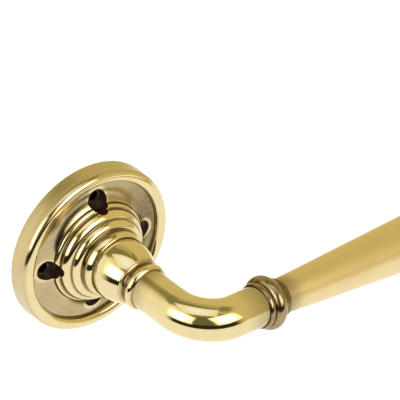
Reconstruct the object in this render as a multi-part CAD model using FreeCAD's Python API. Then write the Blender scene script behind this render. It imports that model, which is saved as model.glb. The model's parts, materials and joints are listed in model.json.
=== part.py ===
import FreeCAD, Part
import math
import os

# Door lever handle on a round rose, unsprung, in brass.
# Millimetres.  Origin at the centre of the rose's back face, which lies on the door.  +Z is up,
# the spindle axis is Y, the handle stands out from the door along -Y and the lever points to +X.

# ---- driving dimensions -------------------------------------------------------------------------
rose_r = 30.0            # outer radius of the rose at the door
rose_wall = 2.4          # thickness of the rose's shell under the dish
rim_wall = 2.4           # thickness of the rose's side wall
rim_bead_r = 2.2         # section radius of the bead round the rim
rim_bead_ring = 27.5     # radius of the ring that the bead's section follows
rim_bead_out = 5.4       # height of that ring above the door
dish_out = 5.0           # height of the dished floor at its outer edge
dome_foot_r = 18.1       # radius of the foot of the stepped dome
dome_foot_out = 6.5      # its height above the door
dome_top = 16.9          # height of the dome's top face

screw_ring_r = 20.0      # radius of the circle of fixing screws
screw_count = 4
screw_hole_r = 2.2       # clearance hole for a No. 8 wood screw
screw_sink_r = 3.8       # mouth of the countersink
screw_seat = 5.4         # height of that mouth above the door
screw_turn = 4.5         # degrees from the lever's line to the first screw

boss_r = 12.5            # short boss inside the rose, which carries the bush
boss_back = 6.2          # height of the boss's back face
boss_root = 8.0          # height where the boss joins the shell
bush_wall = 0.9
bush_flange = 1.0        # thickness of the bush's flange
bush_flange_r = 12.2
bush_proud = 0.3         # the bush stands this far out of the dome, under the neck

shank_r = 9.0            # journal of the lever, which turns in the bush
shank_back = 1.0         # height of the shank's end face
running = 0.04           # radial clearance of the journal in its bush
thrust = 0.05            # end float between faces that turn on each other
snug = 0.03              # radial clearance of pressed, brazed and screwed spigots

washer_thick = 0.8
washer_r = 12.2
wave_thick = 0.35
wave_height = 1.18       # height of the wave washer as it is squeezed
wave_count = 3
wave_r = 11.8
washer_gap = 0.15        # radial clearance of both washers on the shank
circlip_thick = 1.2
circlip_r = 11.3
groove_deep = 0.5        # depth of the circlip's groove in the shank
circlip_gap_turn = 130   # degrees from +X to the gap between the circlip's lugs

neck_base_r = 10.8       # radius of the neck where it meets the dome
neck_shoulder_out = 27.2 # height of the end of the neck's barrel
neck_bead_out = 30.8     # height of the bead at the top of the neck
neck_bead_r = 8.05
neck_end = 32.5          # height where the neck ends and the bent arm starts
spigot_length = 7.0      # the neck's spigot inside the arm

square = 8.1             # square socket for an 8 mm spindle
square_end = 24.0        # height of the closed end of the socket
mouth_r = 7.0            # round mouth of the socket in the shank's end
mouth_deep = 4.0

grub_r = 2.5             # M5 set screw in the underside of the neck
grub_out = 21.0          # its height above the door
grub_length = 5.8
grub_key = 2.5           # size of its hexagon key

reach = 58.0             # from the door to the lever's centre line
bend_r = 13.2            # radius of the arm's bend, at its centre line
tube_r = 6.8
tube_bore_r = 4.2
tube_end = 25.2          # where the arm ends, inside the collar

collar_start = 22.7
collar_end = 33.0
collar_bead_at = 27.2    # the large bead of the collar
collar_bead_r = 9.05

stud_r = 4.0             # M8 stud from the arm through the collar into the grip
stud_start = 15.0
stud_end = 52.0
stud_chamfer = 0.6

grip_start_r = 5.82
grip_taper = 0.0572      # growth of the grip's radius per millimetre of length
grip_tip = 112.0         # from the spindle axis to the tip of the lever
shoulder_r = 6.5         # rounding between the grip's cone and its crown
crown_r = 11.0           # rounding of the grip's end

X_AXIS = FreeCAD.Vector(1, 0, 0)
Y_AXIS = FreeCAD.Vector(0, 1, 0)
Z_AXIS = FreeCAD.Vector(0, 0, 1)
OUTWARD = FreeCAD.Vector(0, -1, 0)

# heights that follow from the stack behind the boss
bush_back = boss_back - bush_flange
washer_back = bush_back - thrust - washer_thick
circlip_front = washer_back - wave_height - 0.02
circlip_back = circlip_front - circlip_thick
neck_base = dome_top + bush_proud + thrust


# ---- helpers ------------------------------------------------------------------------------------
def outline(place, start, steps):
    """Closed face from a start point and steps: (a, b) is a line to there, and (ma, mb, a, b) is an
    arc through (ma, mb).  place turns a pair of section coordinates into a point."""
    edges = []
    here = start
    for step in steps + (start,):
        end = step[-2:]
        if here == end:
            continue
        if len(step) == 2:
            edges.append(Part.LineSegment(place(*here), place(*end)).toShape())
        else:
            edges.append(Part.Arc(place(*here), place(*step[:2]), place(*end)).toShape())
        here = end
    return Part.Face(Part.Wire(edges))


def turned(start, *steps):
    """Solid turned about the spindle axis, from a section in (radius, height above the door)."""
    section = outline(lambda r, out: FreeCAD.Vector(r, -out, 0), start, steps)
    return section.revolve(FreeCAD.Vector(0, 0, 0), Y_AXIS, 360)


def turned_on_lever(start, *steps):
    """Solid turned about the lever's centre line, from a section in (distance along it, radius)."""
    section = outline(lambda x, r: FreeCAD.Vector(x, -reach + r, 0), start, steps)
    return section.revolve(FreeCAD.Vector(0, -reach, 0), X_AXIS, 360)


def standing(radius, low, high):
    """Cylinder on the spindle axis between two heights above the door."""
    return Part.makeCylinder(radius, high - low, FreeCAD.Vector(0, -low, 0), OUTWARD)


def ring(inner, outer, low, high):
    return standing(outer, low, high).cut(standing(inner, low - 1, high + 1))


def around(radius, degrees):
    """Vector of a given length in the door's plane, turned from +X towards +Z."""
    angle = math.radians(degrees)
    return FreeCAD.Vector(radius * math.cos(angle), 0, radius * math.sin(angle))


def moved(shape, offset):
    copy = shape.copy()
    copy.translate(offset)
    return copy


def on_circle(centre, radius, degrees):
    angle = math.radians(degrees)
    return centre[0] + radius * math.cos(angle), centre[1] + radius * math.sin(angle)


# ---- rose ---------------------------------------------------------------------------------------
def screw_hole(degrees):
    """Countersunk hole, with room above it for the head, which bites into the dome's foot."""
    sink_deep = screw_sink_r - screw_hole_r
    sink_low = screw_seat - sink_deep
    hole = standing(screw_hole_r, 0, screw_seat)
    sink = Part.makeCone(screw_hole_r, screw_sink_r, sink_deep, FreeCAD.Vector(0, -sink_low, 0), OUTWARD)
    head_room = standing(screw_sink_r, screw_seat, dome_top)
    return moved(hole.fuse([sink, head_room]), around(screw_ring_r, degrees))


def make_rose():
    """Hollow rose: side wall, rim bead, dish, dome in four steps, and a boss at the back."""
    bead = (rim_bead_ring, rim_bead_out)
    bore = shank_r + running + bush_wall + snug
    under = dish_out - rose_wall
    inside = rose_r - rim_wall
    body = turned(
        (bore, boss_back),
        (bore, dome_top),
        (10.7, dome_top),
        (11.6, 15.6, 11.85, 13.3),
        (12.1, 13.3),
        (13.69, 12.64, 14.35, 11.05),
        (14.6, 11.05),
        (16.25, 9.95, 16.8, 7.95),
        (17.1, 7.95),
        (17.9, 7.4, dome_foot_r, dome_foot_out),
        (21.3, dish_out, rim_bead_ring - rim_bead_r, dish_out),
        (rim_bead_ring - rim_bead_r, rim_bead_out),
        on_circle(bead, rim_bead_r, 90) + on_circle(bead, rim_bead_r, -10),
        (rose_r, 0.3),
        (rose_r - 0.3, 0),
        (inside, 0),
        (inside, under - 1.2),
        (inside - 0.35, under - 0.35, inside - 1.2, under),
        (dome_foot_r - 2.6, under),
        (boss_r + 1.4, boss_root),
        (boss_r, boss_root),
        (boss_r, boss_back),
    )
    for k in range(screw_count):
        body = body.cut(screw_hole(screw_turn + 360 / screw_count * k))
    return body


def make_rose_bush():
    """Flanged sleeve pressed into the rose from behind."""
    inner = shank_r + running
    outer = inner + bush_wall
    return turned(
        (inner, bush_back),
        (inner, dome_top + bush_proud),
        (outer, dome_top + bush_proud),
        (outer, boss_back - snug),
        (bush_flange_r, boss_back - snug),
        (bush_flange_r, bush_back),
    )


# ---- lever, behind the rose ---------------------------------------------------------------------
def make_flat_washer():
    return ring(shank_r + washer_gap, washer_r, washer_back, washer_back + washer_thick)


def wave_edge(radius, lift):
    """Closed wavy edge of the spring washer."""
    middle = washer_back - wave_height / 2 - 0.01
    swing = (wave_height - wave_thick) / 2
    count = 12 * wave_count
    points = []
    for k in range(count):
        degrees = 360 / count * k
        out = middle + swing * math.cos(math.radians(wave_count * degrees)) + lift
        points.append(around(radius, degrees) + OUTWARD * out)
    curve = Part.BSplineCurve()
    curve.interpolate(Points=points, PeriodicFlag=True)
    return curve.toShape()


def make_wave_washer():
    inner = shank_r + washer_gap
    half = wave_thick / 2
    corners = [wave_edge(inner, -half), wave_edge(wave_r, -half), wave_edge(wave_r, half), wave_edge(inner, half)]
    faces = [Part.makeRuledSurface(corners[k - 1], corners[k]) for k in range(4)]
    solid = Part.Solid(Part.Shell(faces))
    if solid.Volume < 0:
        solid.reverse()
    return solid


def make_circlip():
    """Retaining ring, widest opposite its gap, with a drilled lug on each side of the gap."""
    gap_side = around(1, circlip_gap_turn)
    body = moved(standing(circlip_r, circlip_back, circlip_front), gap_side * -0.5)
    lug = standing(1.9, circlip_back, circlip_front)
    eye = standing(0.8, circlip_back - 1, circlip_front + 1)
    for side in (-16, 16):
        body = body.fuse(moved(lug, around(11.0, circlip_gap_turn + side)))
    for side in (-16, 16):
        body = body.cut(moved(eye, around(11.0, circlip_gap_turn + side)))
    gap = Part.makeBox(8, 4, 3.4, FreeCAD.Vector(7, -circlip_front - 1, -1.7))
    gap.rotate(FreeCAD.Vector(0, 0, 0), Y_AXIS, -circlip_gap_turn)
    return body.cut([gap, standing(shank_r - groove_deep + snug, circlip_back - 1, circlip_front + 1)])


# ---- lever, in front of the rose ----------------------------------------------------------------
def make_neck():
    """Shank, barrel, cove, bead and spigot in one piece, with the spindle's socket and screw hole."""
    groove_r = shank_r - groove_deep
    body = turned(
        (0, shank_back),
        (shank_r - 0.4, shank_back),
        (shank_r, shank_back + 0.4),
        (shank_r, circlip_back - 0.05),
        (groove_r, circlip_back - 0.05),
        (groove_r, circlip_front + 0.02),
        (shank_r, circlip_front + 0.02),
        (shank_r, neck_base),
        (neck_base_r - 0.25, neck_base),
        (neck_base_r, neck_base + 0.25),
        (10.08, 22.5, 8.2, neck_shoulder_out),
        (7.75, neck_shoulder_out + 0.15),
        (6.95, 28.3, 7.1, 29.35),
        (neck_bead_r, neck_bead_out, 7.1, neck_end - 0.15),
        (tube_r + 0.05, neck_end),
        (tube_bore_r - snug, neck_end),
        (tube_bore_r - snug, neck_end + spigot_length),
        (0, neck_end + spigot_length),
    )
    half = square / 2
    socket = Part.makeBox(square, square_end - shank_back, square, FreeCAD.Vector(-half, -square_end, -half))
    mouth = standing(mouth_r, 0, shank_back + mouth_deep)
    screw = Part.makeCylinder(grub_r + snug, 15, FreeCAD.Vector(0, -grub_out, 0), -Z_AXIS)
    return body.cut([socket, mouth, screw])


def make_grub_screw():
    """Cup-point set screw with a hexagon socket, driven up to the socket's lower flat."""
    point = -(square / 2 + 0.3)
    outer = point - grub_length
    body = Part.makeCylinder(grub_r, grub_length, FreeCAD.Vector(0, -grub_out, outer), Z_AXIS)
    cup = Part.makeCone(0.2, 1.2, 0.8, FreeCAD.Vector(0, -grub_out, point - 0.8), Z_AXIS)
    corners = [around(grub_key / math.sqrt(3), 60 * k) for k in range(7)]
    key = Part.Face(Part.makePolygon([FreeCAD.Vector(c.x, c.z, 0) for c in corners]))
    key = moved(key.extrude(FreeCAD.Vector(0, 0, 2.5)), FreeCAD.Vector(0, -grub_out, outer))
    return body.cut([cup, key])


def make_arm():
    """Tube from the neck, round the bend and into the collar."""
    bend_start = reach - bend_r
    turn = math.radians(45)
    foot = FreeCAD.Vector(0, -neck_end, 0)
    bend_in = FreeCAD.Vector(0, -bend_start, 0)
    bend_middle = FreeCAD.Vector(bend_r - bend_r * math.cos(turn), -bend_start - bend_r * math.sin(turn), 0)
    bend_out = FreeCAD.Vector(bend_r, -reach, 0)
    tip = FreeCAD.Vector(tube_end, -reach, 0)
    path = Part.Wire([
        Part.LineSegment(foot, bend_in).toShape(),
        Part.Arc(bend_in, bend_middle, bend_out).toShape(),
        Part.LineSegment(bend_out, tip).toShape(),
    ])
    outside = path.makePipeShell([Part.Wire(Part.makeCircle(tube_r, foot, OUTWARD))], True, True)
    inside = path.makePipeShell([Part.Wire(Part.makeCircle(tube_bore_r, foot, OUTWARD))], True, True)
    return outside.cut(inside)


def make_collar():
    """Turned ferrule: small bead, large bead, cove and a fine ring where the grip starts."""
    bore = stud_r + snug
    socket = tube_r + snug
    return turned_on_lever(
        (collar_start, socket),
        (collar_start, 7.0),
        (23.75, 7.65, 24.9, 7.35),
        (collar_bead_at, collar_bead_r, 29.45, 7.55),
        (30.0, 6.8, 31.2, 6.55),
        (32.2, 6.55),
        (32.7, 6.5, collar_end, 6.1),
        (collar_end, bore),
        (tube_end + snug, bore),
        (tube_end + snug, socket),
    )


def make_grip_stud():
    return turned_on_lever(
        (stud_start, 0),
        (stud_start, stud_r - stud_chamfer),
        (stud_start + stud_chamfer, stud_r),
        (stud_end - stud_chamfer, stud_r),
        (stud_end, stud_r - stud_chamfer),
        (stud_end, 0),
    )


def make_grip():
    """Tapered grip.  A shoulder arc joins its cone to the crown, and both joins are tangent."""
    slope = math.atan(grip_taper)
    crown_at = grip_tip - crown_r
    # the shoulder's centre lies shoulder_r inside the cone and crown_r - shoulder_r from the crown's
    base = grip_start_r - grip_taper * collar_end - shoulder_r / math.cos(slope)
    a = 1 + grip_taper ** 2
    b = grip_taper * base - crown_at
    c = crown_at ** 2 + base ** 2 - (crown_r - shoulder_r) ** 2
    shoulder_at = (-b + math.sqrt(b * b - a * c)) / a
    shoulder = (shoulder_at, base + grip_taper * shoulder_at)
    turn = math.degrees(math.atan2(shoulder[1], shoulder_at - crown_at))
    cone_turn = 90 + math.degrees(slope)
    bore = stud_r + snug
    return turned_on_lever(
        (collar_end, bore),
        (collar_end, grip_start_r - 0.15),
        (collar_end + 0.15, grip_start_r),
        on_circle(shoulder, shoulder_r, cone_turn),
        on_circle(shoulder, shoulder_r, (cone_turn + turn) / 2) + on_circle(shoulder, shoulder_r, turn),
        on_circle((crown_at, 0), crown_r, turn / 2) + (grip_tip, 0),
        (stud_end + 1, 0),
        (stud_end + 1, bore),
    )


def export(node, shape):
    if not shape.isValid() or len(shape.Solids) != 1:
        raise RuntimeError(node + " is not one valid solid")
    shape.Solids[0].exportStep(os.path.join("parts", node + ".step"))
    print(node, round(shape.Volume, 1), "mm3")


def main():
    os.makedirs("parts", exist_ok=True)
    export("rose", make_rose())
    export("rose_bush", make_rose_bush())
    export("neck", make_neck())
    export("grub_screw", make_grub_screw())
    export("flat_washer", make_flat_washer())
    export("wave_washer", make_wave_washer())
    export("circlip", make_circlip())
    export("arm", make_arm())
    export("collar", make_collar())
    export("grip_stud", make_grip_stud())
    export("grip", make_grip())


main()
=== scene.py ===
import json
import math

import bmesh
import bpy
from mathutils import Matrix, Vector


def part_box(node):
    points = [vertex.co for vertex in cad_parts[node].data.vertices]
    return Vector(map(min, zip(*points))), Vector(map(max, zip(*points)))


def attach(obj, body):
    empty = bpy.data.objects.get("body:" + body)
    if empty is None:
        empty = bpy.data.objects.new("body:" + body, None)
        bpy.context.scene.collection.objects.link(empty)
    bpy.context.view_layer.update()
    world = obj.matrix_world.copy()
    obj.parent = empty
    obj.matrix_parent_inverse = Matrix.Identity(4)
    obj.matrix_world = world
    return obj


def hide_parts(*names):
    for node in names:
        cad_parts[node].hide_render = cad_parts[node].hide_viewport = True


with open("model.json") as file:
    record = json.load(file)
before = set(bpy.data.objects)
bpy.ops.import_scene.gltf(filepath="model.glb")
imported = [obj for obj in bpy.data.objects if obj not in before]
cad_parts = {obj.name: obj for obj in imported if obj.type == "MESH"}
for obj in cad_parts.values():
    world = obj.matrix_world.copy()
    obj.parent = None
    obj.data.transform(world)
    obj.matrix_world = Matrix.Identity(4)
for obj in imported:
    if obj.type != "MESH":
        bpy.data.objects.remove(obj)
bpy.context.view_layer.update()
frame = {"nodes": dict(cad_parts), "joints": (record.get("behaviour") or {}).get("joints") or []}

bl_info = {
    "name": "Door Lever Handle",
    "version": (1, 0, 0),
    "blender": (4, 5, 0),
    "location": "3D View > Sidebar > Door Handle",
    "description": "Builds a turned brass lever handle on a round rose, with its fixings and a studio",
    "category": "Object",
}

MM = 0.001
ROSE_BODY = "rose_body"
LEVER_BODY = "lever_body"


# ---- places that come from the frame ----
def millimetres(node):
    """Lowest and highest corner of a CAD node, in millimetres."""
    low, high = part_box(node)
    return low / MM, high / MM


ROSE_LOW, ROSE_HIGH = millimetres("rose")
NECK_LOW, NECK_HIGH = millimetres("neck")
COLLAR_LOW, COLLAR_HIGH = millimetres("collar")
GRIP_LOW, GRIP_HIGH = millimetres("grip")
ARM_HIGH = millimetres("arm")[1]
CIRCLIP_LOW, CIRCLIP_HIGH = millimetres("circlip")
REACH = -(COLLAR_LOW.y + COLLAR_HIGH.y) / 2      # from the door to the lever's centre line
TUBE_R = ARM_HIGH.z
TRAVEL = math.radians(max(abs(limit) for limit in frame["joints"][0]["range_deg"]))
LOWEST_REACH = -(GRIP_HIGH.x * math.sin(TRAVEL) + GRIP_HIGH.z) * MM


# ---- sizes that the frame doesn't give, in millimetres ----
SCREW_SEAT, SCREW_ROOM = 5.4, 17.5            # a countersink's mouth, and the room cut above it
CREASES = (18.2, 16.95, 14.5, 12.0)           # radii of the creases between the rose's steps
HOLLOW = ((27.7, 4.0), (16.2, 8.4))           # radius and depth of the rose's unpolished inside
SOCKET_DEEP, MOUTH_R, MOUTH_DEEP = 24.0, 7.0, 5.0
SET_SCREW_OUT, SET_SCREW_R, SET_SCREW_DEEP = 21.0, 2.53, 14.0
STUD_R = 4.03                                 # bore for the stud in the collar and the grip
# The dark disc is painted shade behind the rose.
DISC_R, DISC_BEHIND = 27.0, 0.4               # the dark disc behind the rose
FLOOR_GAP = 2.0                               # between the floor and the lever's lowest reach


# ---- colour and small helpers ----
def linear(code, alpha=1.0):
    """Linear colour from an sRGB hex value such as #C8A050."""
    channels = [int(code[k:k + 2], 16) / 255 for k in (1, 3, 5)]
    bent = [c / 12.92 if c <= 0.04045 else ((c + 0.055) / 1.055) ** 2.4 for c in channels]
    return (*bent, alpha)


def add(tree, kind, inputs=None, **settings):
    """Adds a node.  inputs maps a socket's name or number to a value, or to a socket or a node to link
    from.  A node stands for the first output that it uses."""
    node = tree.nodes.new(kind)
    for name, value in settings.items():
        setattr(node, name, value)
    for name, value in (inputs or {}).items():
        if isinstance(value, bpy.types.Node):
            value = next(output for output in value.outputs if output.enabled)
        if isinstance(value, bpy.types.NodeSocket):
            tree.links.new(value, node.inputs[name])
        else:
            node.inputs[name].default_value = value
    return node


def length_setting(name, description, millimetre):
    return bpy.props.FloatProperty(name=name, description=description, default=millimetre * MM,
                                   min=0.0, unit="LENGTH", precision=5)


def colour_setting(name, description, code):
    return bpy.props.FloatVectorProperty(name=name, description=description, default=linear(code),
                                         size=4, min=0.0, max=1.0, subtype="COLOR")


def number_setting(name, description, default, lowest=0.0):
    return bpy.props.FloatProperty(name=name, description=description, default=default, min=lowest)


def share_setting(name, description, default):
    return bpy.props.FloatProperty(name=name, description=description, default=default,
                                   min=0.0, max=1.0, subtype="FACTOR")


# ---- settings ----
class RoseSettings(bpy.types.PropertyGroup):
    radius: length_setting("Radius", "Outer radius of the rose at the door", ROSE_HIGH.x)
    bead: length_setting("Rim bead", "Section radius of the bead round the rim", 2.2)
    screw_ring: length_setting("Screw circle", "Radius of the circle of screw holes", 20.0)
    screw_count: bpy.props.IntProperty(name="Screw holes", description="Number of screw holes",
                                       default=4, min=2, max=8)
    screw_turn: bpy.props.FloatProperty(name="First screw", description="Turn of the first screw hole",
                                        default=math.radians(4.5), subtype="ANGLE", unit="ROTATION")
    screw_hole: length_setting("Screw hole", "Radius of a screw hole", 2.2)
    screw_sink: length_setting("Countersink", "Radius of a countersink's mouth", 3.8)


class LeverSettings(bpy.types.PropertyGroup):
    bend: length_setting("Bend", "Radius of the arm's bend at its centre line", 13.2)
    tube: length_setting("Tube", "Outer radius of the arm", TUBE_R)
    bore: length_setting("Bore", "Radius of the arm's bore", 4.2)
    collar_bead: length_setting("Collar bead", "Largest radius of the collar", COLLAR_HIGH.z)
    grip_start: length_setting("Grip start", "Radius of the grip at the collar", 5.82)
    taper: bpy.props.FloatProperty(name="Taper", description="Growth of the grip's radius along it",
                                   default=0.0572, min=0.0, max=0.3)
    shoulder: length_setting("Shoulder", "Rounding between the grip and its crown", 6.5)
    crown: length_setting("Crown", "Rounding of the grip's end", 11.0)
    square: length_setting("Spindle square", "Width of the spindle's socket", 8.1)


class FinishSettings(bpy.types.PropertyGroup):
    brass: colour_setting("Polished brass", "Reflection colour of the buffed brass", "#E7D6A6")
    satin: colour_setting("Satin brass", "Reflection colour of the burnished grip", "#EAD4A2")
    # Tarnish colour, also used for painted shade in the recesses.
    patina_and_shade: colour_setting("Patina", "Brown patina left in the recesses", "#7A6648")
    # Grime colour, also painted shade in the deepest grooves and coves.
    grime_and_shade: colour_setting("Grime", "Dark deposit in the creases", "#33281A")
    # Lacquer colour, also used as painted shade in the screw holes and the neck's socket.
    lacquer: colour_setting("Lacquer", "Dark lacquer inside the rose", "#1E0A05")
    # Strength of the tarnish and painted shade in the recesses.
    patina_and_shade_strength: share_setting("Ageing", "Strength of the patina in the recesses", 0.8)


class StageSettings(bpy.types.PropertyGroup):
    floor: colour_setting("Floor", "Colour of the floor", "#F2F4FC")
    room: number_setting("Room light", "Strength of the light from all round", 1.0)
    table: number_setting("Table", "Brightness of the table in the metal", 1.16)
    side_light: number_setting("Side softboxes", "Glow of the two side softboxes", 4.5)
    top_light: number_setting("Top softbox", "Glow of the overhead softbox", 1.45)
    fill: number_setting("Floor fill", "Watts of the light on the floor", 14.0)
    lens: number_setting("Lens", "Focal length of the camera in millimetres", 112.5, lowest=10.0)


# ---- sections: lines and arcs in millimetres ----
def arc_points(start, middle, end, spacing):
    """Points of the arc from start through middle to end, without its start."""
    (ax, ay), (bx, by), (cx, cy) = start, middle, end
    double = 2 * (ax * (by - cy) + bx * (cy - ay) + cx * (ay - by))
    a2, b2, c2 = ax * ax + ay * ay, bx * bx + by * by, cx * cx + cy * cy
    ox = (a2 * (by - cy) + b2 * (cy - ay) + c2 * (ay - by)) / double
    oy = (a2 * (cx - bx) + b2 * (ax - cx) + c2 * (bx - ax)) / double
    radius = math.hypot(ax - ox, ay - oy)
    first = math.atan2(ay - oy, ax - ox)
    sweep = (math.atan2(cy - oy, cx - ox) - first) % math.tau
    inner = (math.atan2(by - oy, bx - ox) - first) % math.tau
    if inner > sweep:
        sweep -= math.tau
    count = max(4, math.ceil(abs(sweep) * radius / spacing))
    return [(ox + radius * math.cos(first + sweep * k / count),
             oy + radius * math.sin(first + sweep * k / count)) for k in range(1, count + 1)]


def section(start, *steps, spacing=0.3, longest=2.0):
    """Points along an outline.  A step (a, b) is a line to there, and (ma, mb, a, b) is an arc."""
    points = [start]
    for step in steps:
        here = points[-1]
        if len(step) == 4:
            points += arc_points(here, step[:2], step[2:], spacing)
            continue
        count = max(1, math.ceil(math.dist(here, step) / longest))
        points += [(here[0] + (step[0] - here[0]) * k / count,
                    here[1] + (step[1] - here[1]) * k / count) for k in range(1, count + 1)]
    return points


def eased(points, closed, ease=0.12, sharp=20):
    """The same outline with each corner sharper than so many degrees broken by a tiny round."""
    result = []
    count = len(points)
    for k, point in enumerate(points):
        if not closed and k in (0, count - 1):
            result.append(point)
            continue
        here = Vector(point)
        back = Vector(points[k - 1]) - here
        ahead = Vector(points[(k + 1) % count]) - here
        if back.length < 1e-6 or ahead.length < 1e-6:
            continue
        if math.degrees(math.pi - back.angle(ahead)) < sharp:
            result.append(point)
            continue
        cut = min(ease, 0.4 * back.length, 0.4 * ahead.length)
        first, last = here + back.normalized() * cut, here + ahead.normalized() * cut
        for t in (0, 0.3, 0.7, 1):
            result.append(tuple(first * (1 - t) ** 2 + here * 2 * t * (1 - t) + last * t * t))
    return result


def on_circle(centre, radius, degrees):
    angle = math.radians(degrees)
    return centre[0] + radius * math.cos(angle), centre[1] + radius * math.sin(angle)


# ---- meshes ----
def place_on_spindle(radius, out, angle):
    return Vector((radius * math.cos(angle), -out, radius * math.sin(angle))) * MM


def place_on_lever(radius, along, angle):
    return Vector((along, -REACH + radius * math.cos(angle), radius * math.sin(angle))) * MM


def place_on_set_screw(radius, up, angle):
    return Vector((radius * math.cos(angle), radius * math.sin(angle) - SET_SCREW_OUT, up)) * MM


def new_piece(name, mesh):
    piece = bpy.data.objects.new(name, mesh)
    bpy.context.scene.collection.objects.link(piece)
    return piece


def piece_from(work, name):
    """Piece with the mesh that was built in work, which is freed."""
    mesh = bpy.data.meshes.new(name)
    work.to_mesh(mesh)
    work.free()
    return new_piece(name, mesh)


def turned(name, place, points, closed, segments):
    """Solid turned from a section of (radius, along).  An open section starts and ends on the axis."""
    work = bmesh.new()
    rings = []
    for radius, along in points:
        if radius < 1e-6:
            rings.append([work.verts.new(place(0, along, 0))])
        else:
            rings.append([work.verts.new(place(radius, along, math.tau * k / segments))
                          for k in range(segments)])
    following = rings[1:] + rings[:1] if closed else rings[1:]
    for low, high in zip(rings, following):
        for k in range(segments):
            corners = list(dict.fromkeys((low[k % len(low)], low[(k + 1) % len(low)],
                                          high[(k + 1) % len(high)], high[k % len(high)])))
            if len(corners) > 2:
                work.faces.new(corners)
    bmesh.ops.recalc_face_normals(work, faces=work.faces)
    return piece_from(work, name)


def shade(piece, sharp=28):
    """Smooth shading, with the edges that turn by more than so many degrees left sharp."""
    mesh = piece.data
    mesh.polygons.foreach_set("use_smooth", [True] * len(mesh.polygons))
    mesh.set_sharp_from_angle(angle=math.radians(sharp))


def paint(piece, name, value_at):
    """Stores a number on each point, which the materials read."""
    mesh = piece.data
    layer = mesh.attributes.new(name, "FLOAT", "POINT")
    layer.data.foreach_set("value", [value_at(v.co / MM) for v in mesh.vertices])


def peak(x, centre, width):
    """1 at the centre, and 0 a few widths from it."""
    return math.exp(-((x - centre) / width) ** 2)


def ramp(x, start, end):
    """0 before start, 1 after end, smooth between."""
    t = min(1.0, max(0.0, (x - start) / (end - start)))
    return t * t * (3 - 2 * t)


def evaluated_mesh(piece):
    """Plain mesh of a piece with its modifiers applied, and the modifiers removed."""
    graph = bpy.context.evaluated_depsgraph_get()
    mesh = bpy.data.meshes.new_from_object(piece.evaluated_get(graph))
    piece.modifiers.clear()
    return mesh


def cut_away(piece, cutter):
    """Takes the cutter's shape out of the piece, and keeps the cutter's finish on the cut."""
    change = piece.modifiers.new("cut", "BOOLEAN")
    change.operation = "DIFFERENCE"
    change.solver = "EXACT"
    change.material_mode = "TRANSFER"
    change.object = cutter
    piece.data = evaluated_mesh(piece)
    bpy.data.objects.remove(cutter)


def finish_with(piece, *names):
    """Gives the piece its materials, by name."""
    piece.data.materials.clear()
    for name in names:
        piece.data.materials.append(bpy.data.materials[name])


def settle(piece, body, node):
    """The piece rides on its body and stands for its CAD node, which is hidden."""
    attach(piece, body)
    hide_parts(node)


def geometry_tree(name, inputs):
    """Empty Geometry Nodes tree with named inputs, given as {name: (socket type, default)}."""
    tree = bpy.data.node_groups.new(name, "GeometryNodeTree")
    tree.interface.new_socket("Geometry", in_out="OUTPUT", socket_type="NodeSocketGeometry")
    for label, (kind, default) in inputs.items():
        socket = tree.interface.new_socket(label, in_out="INPUT", socket_type=kind)
        if default is not None:
            socket.default_value = default
    return tree, add(tree, "NodeGroupInput")


def end_tree(tree, geometry, finish):
    whole = add(tree, "GeometryNodeRealizeInstances", {"Geometry": geometry})
    dressed = add(tree, "GeometryNodeSetMaterial", {"Geometry": whole,
                                                    "Material": bpy.data.materials[finish]})
    add(tree, "NodeGroupOutput", {0: dressed})


def grown(name, tree, values):
    """Piece made by a Geometry Nodes tree.  values are set by each socket's identifier."""
    piece = new_piece(name, bpy.data.meshes.new(name))
    change = piece.modifiers.new("grow", "NODES")
    change.node_group = tree
    for socket in tree.interface.items_tree:
        if socket.in_out == "INPUT" and socket.name in values:
            change[socket.identifier] = values[socket.name]
    piece.data = evaluated_mesh(piece)
    piece.data.name = name
    return piece


# ---- finishes ----
def new_material(name):
    """Makes an empty material.  Gives its tree, and the place on the piece in metres."""
    material = bpy.data.materials.new(name)
    material.use_nodes = True
    tree = material.node_tree
    tree.nodes.clear()
    return tree, add(tree, "ShaderNodeTexCoord").outputs["Object"]


def turning_lines(tree, place, centre, axis_is_x, pitch):
    """Rings left by the lathe: noise that reads only the distance from an axis and along it."""
    moved = add(tree, "ShaderNodeVectorMath", {0: place, 1: centre}, operation="SUBTRACT")
    flat = (0, 1, 1) if axis_is_x else (1, 0, 1)
    spread = add(tree, "ShaderNodeVectorMath", {0: moved, 1: flat}, operation="MULTIPLY")
    radius = add(tree, "ShaderNodeVectorMath", {0: spread}, operation="LENGTH")
    parts = add(tree, "ShaderNodeSeparateXYZ", {0: moved})
    along = parts.outputs["X" if axis_is_x else "Y"]
    ring = add(tree, "ShaderNodeCombineXYZ", {0: radius, 1: along})
    return add(tree, "ShaderNodeTexNoise", {"Vector": ring, "Scale": 1 / (pitch * MM),
                                            "Detail": 3.0, "Roughness": 0.7})


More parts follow.
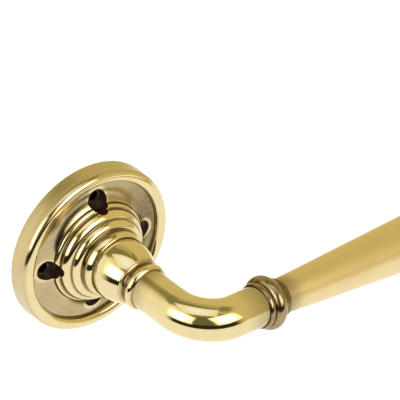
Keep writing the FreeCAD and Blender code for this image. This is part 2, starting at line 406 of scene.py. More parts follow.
def aged_brass(name, colour, settings, rough, centre, axis_is_x, pitch, line_bump):
    """Brass, turned and then buffed or burnished: the high parts stay bright and mirror-like, and the
    recesses are dull and dark with tarnish and painted shade, darkest with grime and painted shade.
    A painted attribute says where this stays, and the satin attribute where the brass is only
    brushed.  The lathe's lines are coarser than real ones."""
    tree, place = new_material(name)
    stored = add(tree, "ShaderNodeAttribute", attribute_name="patina_and_shade", attribute_type="GEOMETRY")
    cloud = add(tree, "ShaderNodeTexNoise", {"Vector": place, "Scale": 1 / (7 * MM), "Detail": 5.0,
                                             "Roughness": 0.65})
    speck = add(tree, "ShaderNodeTexNoise", {"Vector": place, "Scale": 1 / (0.9 * MM), "Detail": 4.0,
                                             "Roughness": 0.7})
    drift = add(tree, "ShaderNodeMapRange", {"Value": cloud, 1: 0.3, 2: 0.7, 3: 0.86, 4: 1.1})
    breakup = add(tree, "ShaderNodeMapRange", {"Value": speck, 1: 0.35, 2: 0.65, 3: 0.92, 4: 1.06})
    worn = add(tree, "ShaderNodeMath", {0: drift, 1: breakup}, operation="MULTIPLY")
    amount = add(tree, "ShaderNodeMath", {0: stored.outputs["Fac"], 1: worn}, operation="MULTIPLY")
    patina_and_shade_level = add(tree, "ShaderNodeMath", {0: amount, 1: settings.patina_and_shade_strength}, operation="MULTIPLY", use_clamp=True)
    lines = turning_lines(tree, place, centre, axis_is_x, pitch)
    shown = tuple(colour)
    # Layers: a random cloud of tarnish, then tarnish and painted shade in the recesses, then grime and
    # painted shade in the deepest ones.
    for cause, low, high, most, layer in ((cloud, 0.3, 0.7, 0.08, settings.patina_and_shade),
                                          (patina_and_shade_level, 0.0, 0.7, 1.0, settings.patina_and_shade),
                                          (patina_and_shade_level, 0.68, 1.0, 1.0, settings.grime_and_shade)):
        share = add(tree, "ShaderNodeMapRange", {"Value": cause, 1: low, 2: high, 4: most})
        shown = add(tree, "ShaderNodeMix", {0: share, 6: shown, 7: tuple(layer)}, data_type="RGBA")
    haze = add(tree, "ShaderNodeMapRange", {"Value": speck, 1: 0.3, 2: 0.7, 3: rough * 0.85,
                                            4: rough * 1.2})
    dull = add(tree, "ShaderNodeMapRange", {"Value": patina_and_shade_level, 1: 0.0, 2: 0.8, 3: 0.0, 4: 0.12})
    matt = add(tree, "ShaderNodeAttribute", attribute_name="satin", attribute_type="GEOMETRY")
    brushed = add(tree, "ShaderNodeMath", {0: matt.outputs["Fac"], 1: 0.2, 2: haze},
                  operation="MULTIPLY_ADD")
    roughness = add(tree, "ShaderNodeMath", {0: brushed, 1: dull}, operation="ADD")
    bump = add(tree, "ShaderNodeBump", {"Strength": line_bump, "Distance": 0.01 * MM, "Height": lines})
    shader = add(tree, "ShaderNodeBsdfPrincipled", {"Base Color": shown, "Metallic": 1.0,
                 "Roughness": roughness, "Normal": bump})
    add(tree, "ShaderNodeOutputMaterial", {"Surface": shader})


def dark_lacquer(settings):
    """Brown-black lacquer brushed on the unpolished casting inside the rose: half gloss, uneven.  It is
    also painted shade on the walls of the screw holes and of the neck's socket and mouth.
    """
    tree, place = new_material("dark_lacquer_and_hole_shade")
    casting = add(tree, "ShaderNodeTexNoise", {"Vector": place, "Scale": 1 / (1.2 * MM), "Detail": 5.0})
    pool = add(tree, "ShaderNodeTexNoise", {"Vector": place, "Scale": 1 / (9 * MM), "Detail": 2.0})
    colour = add(tree, "ShaderNodeMix", {0: pool, 6: tuple(settings.lacquer), 7: linear("#2C150E")},
                 data_type="RGBA")
    rough = add(tree, "ShaderNodeMapRange", {"Value": pool, 1: 0.3, 2: 0.7, 3: 0.35, 4: 0.55})
    bump = add(tree, "ShaderNodeBump", {"Strength": 0.35, "Distance": 0.15 * MM, "Height": casting})
    shader = add(tree, "ShaderNodeBsdfPrincipled", {"Base Color": colour, "Metallic": 0.0,
                 "Roughness": rough, "IOR": 1.5, "Specular IOR Level": 0.15, "Normal": bump})
    add(tree, "ShaderNodeOutputMaterial", {"Surface": shader})


def plated_steel(name, light, dark, rough, spot):
    """Plated or phosphated spring steel: a grey metal with a fine mottled crystal in its finish."""
    tree, place = new_material(name)
    mottle = add(tree, "ShaderNodeTexNoise", {"Vector": place, "Scale": 1 / (spot * MM), "Detail": 6.0,
                                              "Roughness": 0.7})
    colour = add(tree, "ShaderNodeMix", {0: mottle, 6: linear(dark), 7: linear(light)}, data_type="RGBA")
    gloss = add(tree, "ShaderNodeMapRange", {"Value": mottle, 1: 0.3, 2: 0.7, 3: rough + 0.1,
                                             4: rough - 0.08})
    bump = add(tree, "ShaderNodeBump", {"Strength": 0.3, "Distance": 0.03 * MM, "Height": mottle})
    shader = add(tree, "ShaderNodeBsdfPrincipled", {"Base Color": colour, "Metallic": 1.0,
                 "Roughness": gloss, "Normal": bump})
    add(tree, "ShaderNodeOutputMaterial", {"Surface": shader})


def turned_nylon():
    """Natural nylon, turned from rod: milky, waxy, with fine tool marks."""
    tree, place = new_material("natural_nylon")
    cloud = add(tree, "ShaderNodeTexNoise", {"Vector": place, "Scale": 1 / (3 * MM), "Detail": 4.0})
    colour = add(tree, "ShaderNodeMix", {0: cloud, 6: linear("#CFC8B4"), 7: linear("#E4DFD0")},
                 data_type="RGBA")
    lines = turning_lines(tree, place, (0, 0, 0), axis_is_x=False, pitch=0.2)
    bump = add(tree, "ShaderNodeBump", {"Strength": 0.3, "Distance": 0.02 * MM, "Height": lines})
    shader = add(tree, "ShaderNodeBsdfPrincipled", {"Base Color": colour, "Roughness": 0.45,
                 "IOR": 1.53, "Subsurface Weight": 0.15, "Subsurface Radius": (MM, MM, MM),
                 "Normal": bump})
    add(tree, "ShaderNodeOutputMaterial", {"Surface": shader})


def studio_card(colour):
    """Matt white card, barely uneven, which glows a little so that it stays white at any angle."""
    tree, place = new_material("studio_floor")
    cloud = add(tree, "ShaderNodeTexNoise", {"Vector": place, "Scale": 4.0, "Detail": 3.0})
    tone = add(tree, "ShaderNodeMapRange", {"Value": cloud, 3: 0.58, 4: 0.6})
    shade_of = add(tree, "ShaderNodeVectorMath", {0: tuple(colour)[:3], "Scale": tone},
                   operation="SCALE")
    shader = add(tree, "ShaderNodeBsdfPrincipled", {"Base Color": shade_of, "Roughness": 0.9,
                 "Specular IOR Level": 0.2, "Emission Color": tuple(colour), "Emission Strength": 0.72})
    add(tree, "ShaderNodeOutputMaterial", {"Surface": shader})


def make_finishes():
    """Makes the handle's finishes, the first time."""
    if "buffed_brass" in bpy.data.materials:
        return
    settings = bpy.context.scene.handle_finish
    lever_line = (0, -REACH * MM, 0)
    aged_brass("buffed_brass", settings.brass, settings, rough=0.07,
               centre=(0, 0, 0), axis_is_x=False, pitch=0.12, line_bump=0.12)
    aged_brass("buffed_brass_lever", settings.brass, settings, rough=0.08,
               centre=lever_line, axis_is_x=True, pitch=0.12, line_bump=0.12)
    aged_brass("burnished_brass", settings.satin, settings, rough=0.34,
               centre=lever_line, axis_is_x=True, pitch=0.3, line_bump=0.25)
    dark_lacquer(settings)
    plated_steel("phosphated_spring_steel", light="#8C8680", dark="#5A5450", rough=0.42, spot=0.6)
    plated_steel("zinc_plated_steel", light="#C2C2BE", dark="#8E8E8C", rough=0.3, spot=1.0)
    plated_steel("blackened_steel", light="#4A4A4C", dark="#242426", rough=0.35, spot=0.4)
    turned_nylon()


# ---- rose ----
def rose_section(settings):
    """The rose's section as (radius, distance from the door): bore, top, steps, dish, rim and hollow."""
    outer, bead_r, bead = settings.radius / MM, settings.bead / MM, (27.5, 5.4)
    inner, roof, boss_r, boss_out, bore_r, bush_out = outer - 2.4, 2.6, 12.5, 8.0, 9.97, 6.2
    top = -ROSE_LOW.y
    crown = ((bore_r, top), (10.7, top), (11.6, 15.6, 11.85, 13.3))
    steps = ((12.1, 13.3), (13.69, 12.64, 14.35, 11.05), (14.6, 11.05), (16.25, 9.95, 16.8, 7.95),
             (17.1, 7.95), (17.9, 7.4, 18.1, 6.5))
    dish = ((21.3, 5.0, bead[0] - bead_r, 5.0), (bead[0] - bead_r, bead[1]))
    rim = (on_circle(bead, bead_r, 90) + on_circle(bead, bead_r, -10), (outer, 0.3), (outer - 0.3, 0))
    hollow = ((inner, 0), (inner, roof - 1.2), (inner - 0.35, roof - 0.35, inner - 1.2, roof),
              (15.5, roof))
    boss = ((boss_r + 1.4, boss_out), (boss_r, boss_out), (boss_r, bush_out))
    return section((bore_r, bush_out), *crown, *steps, *dish, *rim, *hollow, *boss)


def is_hollow(radius, out):
    """True on the rose's unpolished inside: under its shell, and higher up round the boss."""
    return any(radius < limit and out < depth for limit, depth in HOLLOW)


def from_screw(point):
    """Distance in millimetres from the axis of the nearest screw hole."""
    settings = bpy.context.scene.handle_rose
    pitch, ring = math.tau / settings.screw_count, settings.screw_ring / MM
    turn = (math.atan2(point.z, point.x) - settings.screw_turn) % pitch
    radius = math.hypot(point.x, point.z)
    return math.sqrt(radius ** 2 + ring ** 2 - 2 * radius * ring * math.cos(min(turn, pitch - turn)))


def rose_patina_and_shade(point):
    """Tarnish and painted shade: painted shade in the creases between the steps and between the dish and
    the rim's bead, tarnish and painted shade in the dish, with more painted shade on one side of it, and on
    the side wall; the creases and the dish worn off round the screw holes.
    """
    radius, out = math.hypot(point.x, point.z), -point.y
    # Painted shade in the creases between the rose's steps.
    recess_shade = max(0.75 * peak(radius, crease, 0.28) for crease in CREASES) if out > 6 else 0.0
    # Painted shade on one side of the dish, strongest 20 degrees round from the x axis.
    shaded_side = max(0.0, math.cos(math.atan2(point.z, point.x) - math.radians(20))) ** 4
    dish = (0.46 + 0.4 * shaded_side) * ramp(radius, 17.9, 19.0) * (1 - ramp(radius, 25.0, 26.2))
    # Painted shade in the crease between the dish and the rim's bead.
    corner = 0.8 * peak(radius, 25.25, 0.3) if 4 < out < 6 else 0.0
    # Tarnish and painted shade on the side wall.
    wall = 0.28 * ramp(radius, 28.4, 29.4)
    worn = 1 - peak(from_screw(point), bpy.context.scene.handle_rose.screw_sink / MM, 0.5)
    return max(0.04, recess_shade * worn, dish * worn, corner, wall)


def rose_satin(point):
    """The side wall is only brushed, and so is the dish."""
    radius, out = math.hypot(point.x, point.z), -point.y
    wall = ramp(radius, 28.0, 29.2) * (1 - ramp(out, 5.2, 7.0))
    dish = 0.3 * ramp(radius, 18.4, 20.0) * (1 - ramp(radius, 24.6, 25.4))
    return max(wall, dish)


def screw_cutters(settings, finish):
    """Countersinks, each with room above for the screw's head, set round a circle by Geometry Nodes."""
    hole, sink, below = settings.screw_hole / MM, settings.screw_sink / MM, -1.0
    points = section((0, below), (hole, below), (hole, SCREW_SEAT - (sink - hole)), (sink, SCREW_SEAT),
                     (sink, SCREW_ROOM), (0, SCREW_ROOM))
    cutter = turned("cutter", place_on_spindle, points, False, 72)
    tree, source = geometry_tree("screw_circle", {
        "Cutter": ("NodeSocketObject", None), "Count": ("NodeSocketInt", 4),
        "Radius": ("NodeSocketFloat", 0.02), "Turn": ("NodeSocketFloat", 0.0)})
    circle = add(tree, "GeometryNodeMeshCircle", {"Vertices": source.outputs["Count"],
                                                  "Radius": source.outputs["Radius"]})
    level = add(tree, "GeometryNodeTransform", {"Geometry": circle, "Rotation": (math.pi / 2, 0, 0)})
    turn = add(tree, "ShaderNodeCombineXYZ", {1: source.outputs["Turn"]})
    turned_ring = add(tree, "GeometryNodeTransform", {"Geometry": level, "Rotation": turn})
    shape = add(tree, "GeometryNodeObjectInfo", {"Object": source.outputs["Cutter"]})
    copies = add(tree, "GeometryNodeInstanceOnPoints", {"Points": turned_ring,
                                                        "Instance": shape.outputs["Geometry"]})
    end_tree(tree, copies, finish)
    ring = grown("screw_cutters", tree, {"Cutter": cutter, "Count": settings.screw_count,
                                         "Radius": settings.screw_ring, "Turn": -settings.screw_turn})
    bpy.data.objects.remove(cutter)
    return ring


class HANDLE_OT_rose(bpy.types.Operator):
    """Turn the rose, drill its countersunk screw holes and lacquer its hollow back"""
    bl_idname = "handle.rose"
    bl_label = "Rose"

    def execute(self, context):
        settings = context.scene.handle_rose
        make_finishes()
        points = eased(rose_section(settings), True)
        rose = turned("rose_turned", place_on_spindle, points, True, 256)
        finish_with(rose, "buffed_brass", "dark_lacquer_and_hole_shade")
        for face in rose.data.polygons:
            centre = face.center / MM
            if is_hollow(math.hypot(centre.x, centre.z), -centre.y):
                face.material_index = 1
        # The screw holes' walls take the dark lacquer as painted shade.
        cut_away(rose, screw_cutters(settings, "dark_lacquer_and_hole_shade"))
        shade(rose)
        # Paints the rose's tarnish and painted shade.
        paint(rose, "patina_and_shade", rose_patina_and_shade)
        paint(rose, "satin", rose_satin)
        settle(rose, ROSE_BODY, "rose")
        finish_with(frame["nodes"]["rose_bush"], "natural_nylon")
        return {"FINISHED"}


# ---- neck ----
def neck_section(settings):
    """Shank with the circlip's groove, barrel, ledge, cove, bead and the spigot inside the arm."""
    back, end = -NECK_HIGH.y, -NECK_LOW.y
    groove_start, groove_end = -CIRCLIP_HIGH.y - 0.05, -CIRCLIP_LOW.y + 0.02
    shank_r, groove_r, barrel_r, bead_r, spigot_r = 9.0, 8.5, 10.8, 8.05, 4.17
    base, shoulder, bead_out, top = 17.25, 27.2, 30.8, 32.5
    shank = ((shank_r - 0.4, back), (shank_r, back + 0.4), (shank_r, groove_start))
    groove = ((groove_r, groove_start), (groove_r, groove_end), (shank_r, groove_end), (shank_r, base))
    barrel = ((barrel_r - 0.25, base), (barrel_r, base + 0.25), (10.08, 22.5, 8.2, shoulder))
    cove = ((7.75, shoulder + 0.15), (6.95, 28.3, 7.1, 29.35))
    bead = ((bead_r, bead_out, 7.1, top - 0.15), (settings.tube / MM + 0.05, top))
    spigot = ((spigot_r, top), (spigot_r, end), (0, end))
    return section((0, back), *shank, *groove, *barrel, *cove, *bead, *spigot)


def neck_patina_and_shade(point):
    """Tarnish and painted shade in the cove, dark joint lines and painted shade in the grooves at both
    ends, and some tarnish on the hidden shank and axis.
    """
    radius, out = math.hypot(point.x, point.z), -point.y
    # Tarnish and painted shade in the cove.
    cove = 1.05 * peak(out, 28.35, 0.95)
    ends = 0.7 * max(peak(out, 17.25, 0.35), peak(out, 32.5, 0.3), peak(out, 29.4, 0.25))
    shank = 0.35 if out < 17.2 else 0.0
    return max(0.04, cove, ends, shank) if radius > 1 else 0.5


def box_cutter(name, low, high, finish):
    """Box between two corners in millimetres."""
    work = bmesh.new()
    bmesh.ops.create_cube(work, size=1)
    for vertex in work.verts:
        vertex.co = Vector([(a + b) / 2 + c * (b - a) for a, b, c in zip(low, high, vertex.co)]) * MM
    piece = piece_from(work, name)
    finish_with(piece, finish)
    return piece


class HANDLE_OT_neck(bpy.types.Operator):
    """Turn the neck and its shank, and cut the spindle's socket and the set screw's hole"""
    bl_idname = "handle.neck"
    bl_label = "Neck"

    def execute(self, context):
        settings = context.scene.handle_lever
        make_finishes()
        neck = turned("neck_turned", place_on_spindle, eased(neck_section(settings), False), False, 192)
        finish_with(neck, "buffed_brass", "dark_lacquer_and_hole_shade")
        half = settings.square / MM / 2
        # The socket and its mouth take the dark lacquer as painted shade.
        socket = box_cutter("socket", (-half, -SOCKET_DEEP, -half), (half, 1, half), "dark_lacquer_and_hole_shade")
        mouth = turned("mouth", place_on_spindle,
                       section((0, 0), (MOUTH_R, 0), (MOUTH_R, MOUTH_DEEP), (0, MOUTH_DEEP)), False, 96)
        finish_with(mouth, "dark_lacquer_and_hole_shade")
        screw_way = turned("screw_way", place_on_set_screw,
                           section((0, -SET_SCREW_DEEP), (SET_SCREW_R, -SET_SCREW_DEEP),
                                   (SET_SCREW_R, -1), (0, -1)), False, 48)
        finish_with(screw_way, "buffed_brass")
        for cutter in (socket, mouth, screw_way):
            cut_away(neck, cutter)
        shade(neck)
        paint(neck, "patina_and_shade", neck_patina_and_shade)
        settle(neck, LEVER_BODY, "neck")
        return {"FINISHED"}


# ---- arm ----
def arm_patina_and_reflection(point):
    """The arm is dull where it enters the collar, with tarnish and a painted reflection of the collar, and
    keeps a dark line where it leaves the neck.
    """
    # Tarnish and a painted reflection of the collar, growing towards the collar.
    near_collar = 0.62 * ramp(point.x, 15.0, 22.0)
    near_neck = 0.5 * peak(-point.y, 32.5, 0.5) if point.x < 8 else 0.0
    return max(0.04, near_collar, near_neck)


class HANDLE_OT_arm(bpy.types.Operator):
    """Sweep the bent tube of the arm from the neck into the collar"""
    bl_idname = "handle.arm"
    bl_label = "Arm"

    def execute(self, context):
        settings = context.scene.handle_lever
        make_finishes()
        start, end = -ARM_HIGH.y, ARM_HIGH.x
        tree, source = geometry_tree("swept_tube", {
            "Outer radius": ("NodeSocketFloat", TUBE_R * MM), "Bore radius": ("NodeSocketFloat", 0.004),
            "Corner": ("NodeSocketVector", (0, -REACH * MM, 0)), "Bend": ("NodeSocketFloat", 0.013)})
        first = add(tree, "GeometryNodeCurvePrimitiveLine", {"Start": (0, -start * MM, 0),
                                                             "End": source.outputs["Corner"]})
        second = add(tree, "GeometryNodeCurvePrimitiveLine", {"Start": source.outputs["Corner"],
                                                              "End": (end * MM, -REACH * MM, 0)})
        both = add(tree, "GeometryNodeJoinGeometry")
        tree.links.new(second.outputs[0], both.inputs[0])
        tree.links.new(first.outputs[0], both.inputs[0])
        mesh = add(tree, "GeometryNodeCurveToMesh", {"Curve": both})
        joined = add(tree, "GeometryNodeMergeByDistance", {"Geometry": mesh, "Distance": 1e-6})
        path = add(tree, "GeometryNodeMeshToCurve", {"Mesh": joined})
        bent = add(tree, "GeometryNodeFilletCurve", {"Curve": path, "Radius": source.outputs["Bend"],
                                                     "Count": 64}, mode="POLY")
        dense = add(tree, "GeometryNodeSubdivideCurve", {"Curve": bent, "Cuts": 1})
        walls = add(tree, "GeometryNodeJoinGeometry")
        for label in ("Outer radius", "Bore radius"):
            ring = add(tree, "GeometryNodeCurvePrimitiveCircle", {"Resolution": 128,
                                                                  "Radius": source.outputs[label]})
            wall = add(tree, "GeometryNodeCurveToMesh", {"Curve": dense, "Profile Curve": ring})
            tree.links.new(wall.outputs[0], walls.inputs[0])
        end_tree(tree, walls, "buffed_brass_lever")
        arm = grown("arm_tube", tree, {"Outer radius": settings.tube, "Bore radius": settings.bore,
                                       "Bend": settings.bend, "Corner": (0, -REACH * MM, 0)})
        work = bmesh.new()
        work.from_mesh(arm.data)
        open_edges = [e for e in work.edges if e.is_boundary]
        at_foot = [e for e in open_edges if abs(e.verts[0].co.y + start * MM) < 1e-5]
        at_tip = [e for e in open_edges if abs(e.verts[0].co.x - end * MM) < 1e-5]
        for edges in (at_foot, at_tip):
            bmesh.ops.bridge_loops(work, edges=edges)
        bmesh.ops.recalc_face_normals(work, faces=work.faces)
        work.to_mesh(arm.data)
        work.free()
        finish_with(arm, "buffed_brass_lever")
        arm.data.polygons.foreach_set("material_index", [0] * len(arm.data.polygons))
        shade(arm)
        paint(arm, "patina_and_shade", arm_patina_and_reflection)
        settle(arm, LEVER_BODY, "arm")
        return {"FINISHED"}


# ---- collar and grip ----
def collar_section(settings):
    """Small bead, large bead, cove and fine ring, as (radius, distance along the lever)."""
    start, end = COLLAR_LOW.x, COLLAR_HIGH.x
    socket_r, socket_end = 6.83, 25.23
    beads = ((start, 7.0), (23.75, 7.65, 24.9, 7.35), (27.2, settings.collar_bead / MM, 29.45, 7.55))
    cove = ((30.0, 6.8, 31.2, 6.55), (32.2, 6.55))
    ring = ((32.7, 6.5, end, 6.1), (end, STUD_R))
    socket = ((socket_end, STUD_R), (socket_end, socket_r))
    flipped = section((start, socket_r), *beads, *cove, *ring, *socket)
    return [(radius, along) for along, radius in flipped]


def collar_patina_and_shade(point):
    """The collar is dull all over with tarnish and a painted darker reflection, duller beyond its large
    bead with tarnish and painted shade, and darkest with painted shade in its grooves.
    """
    grooves = ((22.7, 0.3), (24.9, 0.35), (29.8, 0.6), (33.0, 0.3))
    # Painted shade in the collar's grooves.
    recess_shade = max(1.1 * peak(point.x, middle, width) for middle, width in grooves)
    # Tarnish and a painted darker reflection all over, more beyond the large bead.
    return max(0.7, recess_shade, 0.85 * ramp(point.x, 28.4, 29.8))


class HANDLE_OT_collar(bpy.types.Operator):
    """Turn the beaded collar between the arm and the grip"""
    bl_idname = "handle.collar"
    bl_label = "Collar"

    def execute(self, context):
        make_finishes()
        points = eased(collar_section(context.scene.handle_lever), True, ease=0.08)
        collar = turned("collar_turned", place_on_lever, points, True, 160)
        finish_with(collar, "buffed_brass_lever")
        shade(collar)
        paint(collar, "patina_and_shade", collar_patina_and_shade)
        settle(collar, LEVER_BODY, "collar")
        return {"FINISHED"}


def grip_section(settings):
    """Cone, shoulder and crown, whose joins are tangent, and the bore for the stud."""
    start, tip = GRIP_LOW.x, GRIP_HIGH.x
    crown, shoulder_r = settings.crown / MM, settings.shoulder / MM
    taper, start_r, bore_end = settings.taper, settings.grip_start / MM, 53.0
    slope = math.atan(taper)
    crown_at = tip - crown
    base = start_r - taper * start - shoulder_r / math.cos(slope)
    a = 1 + taper ** 2
    b = taper * base - crown_at
    c = crown_at ** 2 + base ** 2 - (crown - shoulder_r) ** 2
    at = (-b + math.sqrt(b * b - a * c)) / a
    shoulder = (at, base + taper * at)
    turn = math.degrees(math.atan2(shoulder[1], at - crown_at))
    cone_turn = 90 + math.degrees(slope)
    flipped = section(
        (bore_end, 0), (bore_end, STUD_R), (start, STUD_R), (start, start_r - 0.15),
        (start + 0.15, start_r),
        on_circle(shoulder, shoulder_r, cone_turn),
        on_circle(shoulder, shoulder_r, (cone_turn + turn) / 2) + on_circle(shoulder, shoulder_r, turn),
        on_circle((crown_at, 0), crown, turn / 2) + (tip, 0), spacing=0.5, longest=1.5)
    return [(radius, along) for along, radius in flipped]


def grip_patina(point):
    """Some patina near the collar, and a dark line at the join."""
    start = GRIP_LOW.x
    return max(0.05, 0.48 * (1 - ramp(point.x, start + 1, start + 8)), 0.9 * peak(point.x, start, 0.35))


class HANDLE_OT_grip(bpy.types.Operator):
    """Turn the tapered grip with its rounded end"""
    bl_idname = "handle.grip"
    bl_label = "Grip"

    def execute(self, context):
        make_finishes()
        points = eased(grip_section(context.scene.handle_lever), False)
        grip = turned("grip_turned", place_on_lever, points, False, 160)
        finish_with(grip, "burnished_brass")
        shade(grip)
        paint(grip, "patina_and_shade", grip_patina)
        settle(grip, LEVER_BODY, "grip")
        return {"FINISHED"}


# ---- fixings ----
FIXINGS = {"circlip": "phosphated_spring_steel", "wave_washer": "phosphated_spring_steel",
           "flat_washer": "zinc_plated_steel", "grip_stud": "zinc_plated_steel",
           "grub_screw": "blackened_steel"}


class HANDLE_OT_fixings(bpy.types.Operator):
    """Finish the circlip, the washers, the set screw and the grip's stud"""
    bl_idname = "handle.fixings"
    bl_label = "Fixings"

    def execute(self, context):
        make_finishes()
        for node, finish in FIXINGS.items():
            finish_with(frame["nodes"][node], finish)
        return {"FINISHED"}


# ---- stage ----
# The camera's view and place, and the way up of the table that the brass reflects.
AHEAD = Vector((0.62914, 0.60504, -0.48797)).normalized()
CAMERA_UP = Vector((0.24944, 0.43743, 0.86397))
CAMERA_AT = Vector((-0.2298, -0.2703, 0.2195))
TABLE_UP = Vector((-0.215, 0.0, 0.975)).normalized()
TO_CAMERA = (-AHEAD + TABLE_UP * AHEAD.dot(TABLE_UP)).normalized()
TO_LEFT = TABLE_UP.cross(TO_CAMERA)


def placed(at, across, up, back):
    """Matrix of a thing at a place, from the directions of its own three axes."""
    return Matrix.Translation(at) @ Matrix((across, up, back)).transposed().to_4x4()


def studio_direction(azimuth, elevation):
    """Direction by degrees round from the camera and up from the table."""
    turn, rise = math.radians(azimuth), math.radians(elevation)
    level = TO_CAMERA * math.cos(turn) + TO_LEFT * math.sin(turn)
    return level * math.cos(rise) + TABLE_UP * math.sin(rise)


def diffuser(name, centre, edge):
    """Softbox cloth: brightest and coolest at its centre, where the lamp is, and warmer at its edge."""
    tree, place = new_material(name)
    away = add(tree, "ShaderNodeVectorMath", {0: place}, operation="LENGTH")
    cloth = add(tree, "ShaderNodeTexNoise", {"Vector": place, "Scale": 3.0, "Detail": 2.0})
    ragged = add(tree, "ShaderNodeMath", {0: cloth, 1: 0.15, 2: away}, operation="MULTIPLY_ADD")
    fade = add(tree, "ShaderNodeMapRange", {"Value": ragged, 1: 0.15, 2: 0.52, 3: 1.0, 4: 0.0},
               interpolation_type="SMOOTHSTEP")
    colour = add(tree, "ShaderNodeMix", {0: fade, 6: linear("#FFF6DC"), 7: linear("#EAF3FF")},
                 data_type="RGBA")
    power = add(tree, "ShaderNodeMapRange", {"Value": fade, 3: edge, 4: centre})
    glow = add(tree, "ShaderNodeEmission", {"Color": colour, "Strength": power})
    add(tree, "ShaderNodeOutputMaterial", {"Surface": glow})


def seen_by_camera_only(piece):
    """Keeps a piece from lighting the handle or showing in it: only the camera sees it."""
    for ray in ("diffuse", "glossy", "transmission", "shadow"):
        setattr(piece, "visible_" + ray, False)


def painted_shade_sheet():
    """Painted shade behind the rose: a nearly black sheet, faintly uneven, and clear when seen from behind.
    """
    tree, place = new_material("painted_shade_sheet")
    blotches = add(tree, "ShaderNodeTexNoise", {"Vector": place, "Scale": 1 / (6 * MM), "Detail": 3.0})
    colour = add(tree, "ShaderNodeMix", {0: blotches, 6: linear("#080405"), 7: linear("#150F10")},
                 data_type="RGBA")
    shade_surface = add(tree, "ShaderNodeBsdfPrincipled", {"Base Color": colour, "Roughness": 0.9})
    clear = add(tree, "ShaderNodeBsdfTransparent")
    side = add(tree, "ShaderNodeNewGeometry")
    shader = add(tree, "ShaderNodeMixShader", {0: side.outputs["Backfacing"], 1: shade_surface, 2: clear})
    add(tree, "ShaderNodeOutputMaterial", {"Surface": shader})


def backdrop(colour):
    """Plain dome far behind everything, which only the camera sees, with a barely visible unevenness."""
    tree, place = new_material("backdrop_paper")
    cloud = add(tree, "ShaderNodeTexNoise", {"Vector": place, "Scale": 0.5, "Detail": 2.0})
    tone = add(tree, "ShaderNodeMapRange", {"Value": cloud, 3: 1.12, 4: 1.16})
    glow = add(tree, "ShaderNodeEmission", {"Color": tuple(colour), "Strength": tone})
    add(tree, "ShaderNodeOutputMaterial", {"Surface": glow})
    work = bmesh.new()
    bmesh.ops.create_uvsphere(work, u_segments=48, v_segments=24, radius=6.0)
    bmesh.ops.reverse_faces(work, faces=work.faces)
    dome = piece_from(work, "backdrop")
    finish_with(dome, "backdrop_paper")
    seen_by_camera_only(dome)


def dark_disc():
    """Disc of painted shade just behind the hollow rose, so that its screw holes look dark as they do on a
    door.
    """
    work = bmesh.new()
    count = 64
    rim = [work.verts.new(place_on_spindle(DISC_R, -DISC_BEHIND, math.tau * k / count))
           for k in range(count)]
    face = work.faces.new(rim)
    face.normal_update()
    if face.normal.y > 0:
        face.normal_flip()
    disc = piece_from(work, "dark_disc")
    painted_shade_sheet()
    finish_with(disc, "painted_shade_sheet")
    seen_by_camera_only(disc)


def soft_box(name, azimuth, elevation, width, height, cloth):
    """Glowing panel a metre away that faces the handle.  The camera doesn't see it."""
    work = bmesh.new()
    bmesh.ops.create_grid(work, x_segments=1, y_segments=1, size=0.5)
    for vertex in work.verts:
        vertex.co = Vector((vertex.co.x * width, vertex.co.y * height, 0))
    box = piece_from(work, name)
    toward = studio_direction(azimuth, elevation)
    across = TABLE_UP.cross(toward).normalized()
    middle, distance = Vector((0.02, -0.04, 0)), 1.0
    box.matrix_world = placed(middle + toward * distance, across, toward.cross(across), toward)
    finish_with(box, cloth)
    box.visible_camera = False


def studio_world(settings):
    """Light from the room, which the brass reflects: gold-grey walls in layers, and a white table."""
    world = bpy.data.worlds.new("studio")
    world.use_nodes = True
    tree = world.node_tree
    tree.nodes.clear()
    toward = add(tree, "ShaderNodeTexCoord").outputs["Generated"]
    rise, front, left = (add(tree, "ShaderNodeVectorMath", {0: toward, 1: axis}, operation="DOT_PRODUCT")
                         for axis in (TABLE_UP, TO_CAMERA, TO_LEFT))
    sideways = add(tree, "ShaderNodeMath", {0: left}, operation="ABSOLUTE")

    def region(*steps, share=1.0, operation="MULTIPLY"):
        """Share of a layer: smooth steps, each (value, from, to), multiplied or the largest of them."""
        for value, low, high in steps:
            step = add(tree, "ShaderNodeMapRange", {"Value": value, 1: low, 2: high},
                       interpolation_type="SMOOTHSTEP")
            share = add(tree, "ShaderNodeMath", {0: share, 1: step}, operation=operation)
        return share

    pale_wall = region((left, -0.25, -0.6), (front, -0.35, 0.0), (rise, 0.93, 0.85))
    edges = region((left, 0.0, -0.2), (left, 0.28, 0.42), (rise, 0.86, 0.92), share=0.4,
                   operation="MAXIMUM")
    roof_behind = region((rise, 0.72, 0.82), (front, 0.1, -0.1), share=edges)
    gap_under_top_light = region((rise, 0.76, 0.81), (rise, 0.91, 0.87), (front, 0.05, 0.25),
                                 (left, -0.3, -0.1), share=0.55)
    between_side_lights = region((sideways, 0.42, 0.28), (rise, 0.85, 0.77), (front, 0.0, 0.2), share=0.9)
    past_the_table = region((rise, 0.25, 0.16), (front, 0.3, 0.6))
    table_end = region((front, 0.0, -0.2), share=0.15)
    height = add(tree, "ShaderNodeMath", {0: rise, 1: table_end}, operation="ADD")
    table = region((height, -0.12, -0.17))
    colour = linear("#D6C892")
    layers = ((pale_wall, "#FFFBEA"), (roof_behind, "#8A8656"), (gap_under_top_light, "#4A4838"),
              (between_side_lights, "#56543E"), (past_the_table, "#2A2618"), (table, "#FFFDF8"))
    for share, code in layers:
        colour = add(tree, "ShaderNodeMix", {0: share, 6: colour, 7: linear(code)}, data_type="RGBA")
    power = add(tree, "ShaderNodeMapRange", {"Value": table, 3: 1.15, 4: settings.table})
    strength = add(tree, "ShaderNodeMath", {0: power, 1: settings.room}, operation="MULTIPLY")
    glow = add(tree, "ShaderNodeBackground", {"Color": colour, "Strength": strength})
    add(tree, "ShaderNodeOutputWorld", {"Surface": glow})
    return world


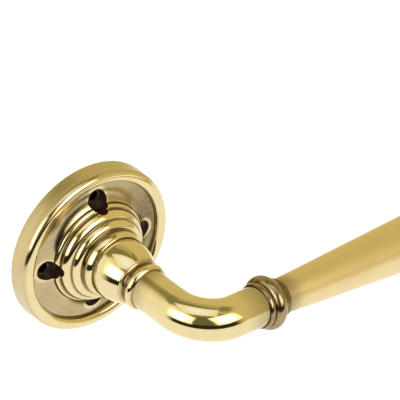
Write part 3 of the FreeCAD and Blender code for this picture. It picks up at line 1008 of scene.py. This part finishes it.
class HANDLE_OT_stage(bpy.types.Operator):
    """Set up the floor, the soft studio light and the camera"""
    bl_idname = "handle.stage"
    bl_label = "Stage"

    def execute(self, context):
        settings = context.scene.handle_stage
        work = bmesh.new()
        bmesh.ops.create_grid(work, x_segments=1, y_segments=1, size=3.0)
        floor = piece_from(work, "floor")
        floor.location.z = LOWEST_REACH - FLOOR_GAP * MM
        studio_card(settings.floor)
        finish_with(floor, "studio_floor")
        floor.visible_glossy = False
        floor.visible_shadow = False

        dark_disc()
        backdrop(settings.floor)
        context.scene.world = studio_world(settings)
        diffuser("softbox_cloth", settings.side_light, settings.side_light * 0.35)
        diffuser("overhead_cloth", settings.top_light, settings.top_light * 0.8)
        # Name, degrees round from the camera and up, width and height in metres, and cloth.
        for box in (("left_softbox", 49, 32, 0.9, 0.72, "softbox_cloth"),
                    ("right_softbox", -45, 31, 0.88, 0.74, "softbox_cloth"),
                    ("top_softbox", 0, 80, 0.95, 0.68, "overhead_cloth")):
            soft_box(*box)

        fill = bpy.data.lights.new("floor_fill", "AREA")
        fill.size = 1.6
        fill.energy = settings.fill
        fill.color = linear("#EEF4FF")[:3]
        lamp = bpy.data.objects.new("floor_fill", fill)
        lamp.location = (0.0, 0.0, 1.2)
        lamp.visible_glossy = False
        lamp.visible_camera = False
        context.scene.collection.objects.link(lamp)

        camera = bpy.data.cameras.new("camera")
        camera.lens = settings.lens
        camera.sensor_width = 36
        camera.clip_start, camera.clip_end = 0.01, 20
        eye = bpy.data.objects.new("camera", camera)
        context.scene.collection.objects.link(eye)
        right = AHEAD.cross(CAMERA_UP).normalized()
        eye.matrix_world = placed(CAMERA_AT, right, right.cross(AHEAD), -AHEAD)
        context.scene.camera = eye
        context.scene.view_settings.view_transform = "Standard"
        return {"FINISHED"}


class HANDLE_PT_panel(bpy.types.Panel):
    """Lists the handle's pieces and their settings"""
    bl_idname = "HANDLE_PT_panel"
    bl_label = "Door Lever Handle"
    bl_space_type = "VIEW_3D"
    bl_region_type = "UI"
    bl_category = "Door Handle"

    def draw(self, context):
        for name in STEPS:
            self.layout.operator("handle." + name)
        for group in SETTINGS:
            box = self.layout.box()
            for setting in getattr(context.scene, group).bl_rna.properties:
                if setting.identifier not in ("rna_type", "name"):
                    box.prop(getattr(context.scene, group), setting.identifier)


STEPS = ("rose", "neck", "arm", "collar", "grip", "fixings", "stage")
SETTINGS = {"handle_rose": RoseSettings, "handle_lever": LeverSettings, "handle_finish": FinishSettings,
            "handle_stage": StageSettings}
CLASSES = (*SETTINGS.values(), HANDLE_OT_rose, HANDLE_OT_neck, HANDLE_OT_arm, HANDLE_OT_collar,
           HANDLE_OT_grip, HANDLE_OT_fixings, HANDLE_OT_stage, HANDLE_PT_panel)


def register():
    for kind in CLASSES:
        bpy.utils.register_class(kind)
    for name, group in SETTINGS.items():
        setattr(bpy.types.Scene, name, bpy.props.PointerProperty(type=group))


def unregister():
    for name in SETTINGS:
        delattr(bpy.types.Scene, name)
    for kind in reversed(CLASSES):
        bpy.utils.unregister_class(kind)


def main():
    register()
    for name in STEPS:
        getattr(bpy.ops.handle, name)()


if __name__ == "__main__":
    main()
